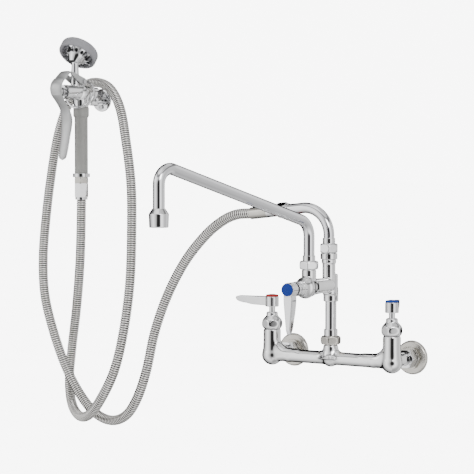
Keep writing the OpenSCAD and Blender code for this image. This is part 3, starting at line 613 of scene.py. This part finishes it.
def make_gooseneck_tube():
    """Up from the nut, over the top and a short way towards the hose."""
    low, high = box_mm("gooseneck_tube")
    y0 = (low[1] + high[1]) / 2
    radius, base_z, end_length, steps = 40.0, 181.0, 30, 56
    turn = math.radians(GOOSENECK_TURN)
    arm_x = -radius * (1 - math.cos(turn))
    arm_z = base_z + radius * math.sin(turn)
    stations = [(0, low[2], 90)] + bend_stations(-radius, base_z, radius, 0, GOOSENECK_TURN, steps)
    stations += [(arm_x - end_length * math.sin(turn), arm_z + end_length * math.cos(turn),
                  90 + GOOSENECK_TURN)]
    return make_tube("gooseneck_tube", stations, Matrix.Translation((0, y0 * MM, 0)))


# ---------- squeeze lever (sizes in millimetres: distance from the wall, then height) ----------

LEVER_SIDES = 36
LEVER_HEEL, LEVER_HEEL_R = (104, 404), 19.2
LEVER_TOP = [(91.0, 432.2), (99.0, 431.6)]
LEVER_BLADE = [(111.5, 384.5), (101.5, 373), (96.2, 362), (95.2, 350), (98.6, 330), (103.5, 309),
               (107.6, 291.5)]
LEVER_HALF_WIDTHS = [(288, 5.4), (297, 7.6), (330, 9.6), (350, 10.9), (362, 10.8), (376, 9.2),
                     (388, 9.8), (400, 11.4), (415, 11.8), (434, 10.6)]  # by height
LEVER_HALF_THICKNESS, LEVER_BOW, LEVER_END_ROUNDING = 1.5, 1.1, 5.0
CHEEK_OFFSET, CHEEK_HALF_THICKNESS = 10.6, 1.2
CHEEK_EYE, CHEEK_EYE_R = (-64, 418), 6
CHEEK_SHOULDER = [(-97, 428.5), (-97, 432), (-92, 432.6), (-90.5, 428)]


def lever_band(x0):
    """Spring-like band with a rounded section, thin and narrow towards both ends."""
    heel = [(LEVER_HEEL[0] + LEVER_HEEL_R * math.cos(math.radians(a)),
             LEVER_HEEL[1] + LEVER_HEEL_R * math.sin(math.radians(a))) for a in range(78, -33, -9)]
    knots = [np.array(p) for p in LEVER_TOP + heel[1:] + LEVER_BLADE]
    centre = smooth_line([2 * knots[0] - knots[1], *knots, 2 * knots[-1] - knots[-2]], 6)
    half_width = curve_through(LEVER_HALF_WIDTHS)
    angle = round_the_clock(LEVER_SIDES)
    distance = distance_along(centre)
    points = []
    for i, (c, d) in enumerate(zip(centre, directions(centre))):
        end = min(distance[i], distance[-1] - distance[i])
        rounding = max(1 - max(1 - end / LEVER_END_ROUNDING, 0.0) ** 2, 0.02)
        width = half_width(c[1]) * math.sqrt(rounding)
        thickness = LEVER_HALF_THICKNESS * min(1.0, 0.35 + end / 2.0)
        across = np.sign(np.cos(angle)) * np.abs(np.cos(angle)) ** 0.55 * width
        thick = np.sign(np.sin(angle)) * np.abs(np.sin(angle)) ** 0.75 * thickness
        bow = LEVER_BOW * (1 - (across / max(width, 0.1)) ** 2)
        normal = np.array([d[1], -d[0]])
        for u, v, h in zip(across, thick, bow):
            out, up = c - normal * (v + h - 0.6)
            points.append((x0 + u, -out, up))
    return mesh_from("band", np.array(points) * MM, rod_faces(len(centre), LEVER_SIDES))


def make_squeeze_lever():
    """The band, and two cheeks that carry it on the pin."""
    pin_low, pin_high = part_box("lever_pin")
    x0 = (pin_low[0] + pin_high[0]) / 2 / MM
    work = bmesh.new()
    work.from_mesh(lever_band(x0))
    for cheek in (-1, 1):
        outline = [(CHEEK_EYE[0] + CHEEK_EYE_R * math.cos(a),
                    CHEEK_EYE[1] + CHEEK_EYE_R * math.sin(a))
                   for a in np.linspace(0, 2 * math.pi, 40)[:-1]] + CHEEK_SHOULDER
        verts = [work.verts.new(((x0 + cheek * CHEEK_OFFSET + side) * MM, y * MM, z * MM))
                 for side in (-CHEEK_HALF_THICKNESS, CHEEK_HALF_THICKNESS) for y, z in outline]
        hull = bmesh.ops.convex_hull(work, input=verts)
        inside = [v for v in hull["geom_interior"] if isinstance(v, bmesh.types.BMVert)]
        bmesh.ops.delete(work, geom=inside, context="VERTS")
    bmesh.ops.recalc_face_normals(work, faces=work.faces)
    mesh = bpy.data.meshes.new("squeeze_lever")
    work.to_mesh(mesh)
    work.free()
    piece = new_object("squeeze_lever", mesh)
    smooth_shade(mesh, 40)
    return dress(piece, "spray_lever")


# ---------- pieces ----------

# Node: voxel size in metres and rounds of smoothing.
CASTINGS = {"mixing_body": (0.0008, 70), "addon_body": (0.0006, 24), "spray_body": (0.0005, 12),
            "hook_arm": (0.0005, 8), "hot_lever": (0.0005, 24), "cold_lever": (0.0005, 24),
            "addon_lever": (0.0005, 24), "bumper": (0.0007, 6)}
BY_HAND = {"hose", "nozzle_tube", "gooseneck_tube", "spray_lever", "gooseneck_nut", "nozzle_nut",
           "riser_nut", "hot_bonnet", "cold_bonnet"}
AS_IS = {"return_spring", "hold_ring"}
# Node, distance from the wall, lower and upper end, width across flats, bore, crown's radius in
# the middle and at its rims, and turn in degrees.
CROWNED_NUTS = [("gooseneck_nut", -73, 155.1, 169, 25.6, 8.1, 14.9, 10.6, 0.0),
                ("nozzle_nut", -131, 133.8, 146.3, 26, 8.1, 15.0, 11.0, 8),
                ("riser_nut", -67, 19.4, 32.2, 27, 8.35, 15.6, 11.2, 18)]
VALVES = (("hot", -101.6), ("cold", 101.6))
BONNET_CROWN = [(38, 12.7), (40, 14.2), (44, 15.7), (48, 15.5), (52, 13.6), (55, 11.0), (57.2, 9.2),
                (58.2, 8.8), (61.6, 8.5), (62.6, 8.0), (63, 7.2)]  # height and radius


def make_nuts():
    for node, y, low, high, across, bore, radius, rim, turn in CROWNED_NUTS:
        make_nut(node, (0, y, 0), low, high, across, bore, lens_crown(low, high, radius, rim), turn)
    low, high, across, bore, turn = 38, 63, 28, 4.7, 19
    crown = curve_through(BONNET_CROWN)
    for valve, x in VALVES:
        make_nut(valve + "_bonnet", (x, -67, 0), low, high, across, bore, crown, turn)


def finish_the_rest():
    """Every other CAD node: cast, rounded over, or only given its material."""
    for node, (voxel, rounds) in CASTINGS.items():
        cast(node, voxel, rounds)
    for node in frame["nodes"]:
        if node not in CASTINGS and node not in BY_HAND and node not in AS_IS:
            edged(node, FLANGE_EDGE_WIDTH if node.endswith("wall_flange") else EDGE_WIDTH)
    for node in AS_IS:
        materials = frame["nodes"][node].data.materials
        materials.clear()
        materials.append(MATERIALS[SLOT_OF[node]])


make_nozzle_tube()
make_gooseneck_tube()
make_squeeze_lever()
make_nuts()
finish_the_rest()

tuple(hose_path[0])
[tuple(p) for p in hose_path[::8]]


# ---------- stage ----------

BACKDROP = 8.0  # brightness that the camera sees behind the object
STUDIO_STRENGTH = 2.5
STUDIO_AZIMUTH = 32.7  # degrees round from the front that the studio faces
FLOOR_REACH, FLOOR_LEVEL = 60.0, -0.6
# (at, grey) stops: the first two lists run from behind the object to the camera, the last from the
# floor to the ceiling.
STUDIO_LEFT = [(0.0, 0.005), (0.27, 0.01), (0.34, 0.30), (0.42, 0.38), (0.55, 0.60), (0.72, 0.85),
               (0.86, 0.55), (0.95, 0.22), (0.972, 0.02), (1.0, 0.01)]
STUDIO_RIGHT = [(0.0, 0.005), (0.12, 0.01), (0.17, 0.42), (0.32, 0.52), (0.46, 0.36), (0.66, 0.36),
                (0.80, 0.62), (0.91, 1.0), (0.955, 0.55), (0.978, 0.02), (1.0, 0.01)]
STUDIO_HEIGHTS = [(0.0, 0.55), (0.10, 0.65), (0.25, 0.85), (0.45, 0.95), (0.62, 1.0), (0.76, 1.0),
                  (0.80, 0.25), (0.86, 0.25), (0.89, 0.9), (1.0, 1.0)]


def make_floor():
    """Pale floor, white to the camera. Polished metal doesn't see it."""
    corners = [(-1, -1), (1, -1), (1, 1), (-1, 1)]
    mesh = mesh_from("floor", [(x * FLOOR_REACH, y * FLOOR_REACH, FLOOR_LEVEL) for x, y in corners],
                     [(0, 1, 2, 3)])
    floor = new_object("floor", mesh)
    m = Nodes("pale_floor")
    glow = m.add("ShaderNodeEmission")
    shade = m.ramp(m.noise(3, 3), [(0.3, (0.97, 0.97, 0.97)), (0.7, (1.0, 1.0, 1.0))])
    m.link(shade, glow.inputs["Color"])
    glow.inputs["Strength"].default_value = BACKDROP
    choose = m.add("ShaderNodeMixShader")
    m.link(m.add("ShaderNodeLightPath").outputs["Is Camera Ray"], choose.inputs["Fac"])
    m.link(m.add("ShaderNodeBsdfTransparent").outputs["BSDF"], choose.inputs[1])
    m.link(glow.outputs["Emission"], choose.inputs[2])
    m.link(choose.outputs["Shader"], m.tree.nodes["Material Output"].inputs["Surface"])
    floor.data.materials.append(m.material)


def make_world():
    """A studio as polished metal sees it: pale panels, dark at the camera and behind the object."""
    world = bpy.data.worlds.new("studio")
    bpy.context.scene.world = world
    world.use_nodes = True
    tree = world.node_tree
    tree.nodes.clear()

    def node(kind, **values):
        made = tree.nodes.new(kind)
        for key, value in values.items():
            setattr(made, key, value)
        return made

    def ramp(source, stops):
        made = node("ShaderNodeValToRGB")
        elements = made.color_ramp.elements
        while len(elements) < len(stops):
            elements.new(0.5)
        for element, (at, grey) in zip(elements, stops):
            element.position = at
            element.color = (grey, grey, grey, 1)
        tree.links.new(source, made.inputs["Fac"])
        return made.outputs["Color"]

    def facing(vector):
        """0 to 1: how far a direction points along the vector."""
        dot = node("ShaderNodeVectorMath", operation="DOT_PRODUCT")
        tree.links.new(direction, dot.inputs[0])
        dot.inputs[1].default_value = vector
        half = node("ShaderNodeMath", operation="MULTIPLY_ADD")
        tree.links.new(dot.outputs["Value"], half.inputs[0])
        half.inputs[1].default_value = 0.5
        half.inputs[2].default_value = 0.5
        return half.outputs["Value"]

    def blend(share, a, b, blend_type="MIX"):
        made = node("ShaderNodeMix", data_type="RGBA", blend_type=blend_type)
        made.inputs["Factor"].default_value = 1.0
        if share is not None:
            tree.links.new(share, made.inputs["Factor"])
        tree.links.new(a, made.inputs["A"])
        tree.links.new(b, made.inputs["B"])
        return made.outputs["Result"]

    direction = node("ShaderNodeTexCoord").outputs["Generated"]
    turn = math.radians(STUDIO_AZIMUTH)
    front = facing((math.sin(turn), -math.cos(turn), 0.0))
    right = facing((math.cos(turn), math.sin(turn), 0.0))
    up = facing((0.0, 0.0, 1.0))
    side = ramp(right, [(0.46, 0.0), (0.54, 1.0)])
    room = blend(side, ramp(front, STUDIO_LEFT), ramp(front, STUDIO_RIGHT))
    seen = node("ShaderNodeBackground")
    seen.inputs["Color"].default_value = (1, 1, 1, 1)
    seen.inputs["Strength"].default_value = BACKDROP
    lit = node("ShaderNodeBackground")
    tree.links.new(blend(None, room, ramp(up, STUDIO_HEIGHTS), "MULTIPLY"), lit.inputs["Color"])
    lit.inputs["Strength"].default_value = STUDIO_STRENGTH
    choose = node("ShaderNodeMixShader")
    tree.links.new(node("ShaderNodeLightPath").outputs["Is Camera Ray"], choose.inputs["Fac"])
    tree.links.new(lit.outputs["Background"], choose.inputs[1])
    tree.links.new(seen.outputs["Background"], choose.inputs[2])
    tree.links.new(choose.outputs["Shader"], node("ShaderNodeOutputWorld").inputs["Surface"])


def make_light(name, place, target, size, power):
    data = bpy.data.lights.new(name, "AREA")
    data.shape = "RECTANGLE"
    data.size, data.size_y = size
    data.energy = power
    light = bpy.data.objects.new(name, data)
    bpy.context.scene.collection.objects.link(light)
    light.location = place
    light.rotation_mode = "QUATERNION"
    light.rotation_quaternion = (Vector(target) - Vector(place)).to_track_quat("-Z", "Y")


make_floor()
make_world()
make_light("key", (2.2, -2.0, 1.8), (-0.2, -0.1, 0.1), (1.2, 1.2), 26)
make_light("fill", (-2.2, -2.0, 1.6), (-0.2, -0.1, 0.1), (1.0, 1.6), 6)
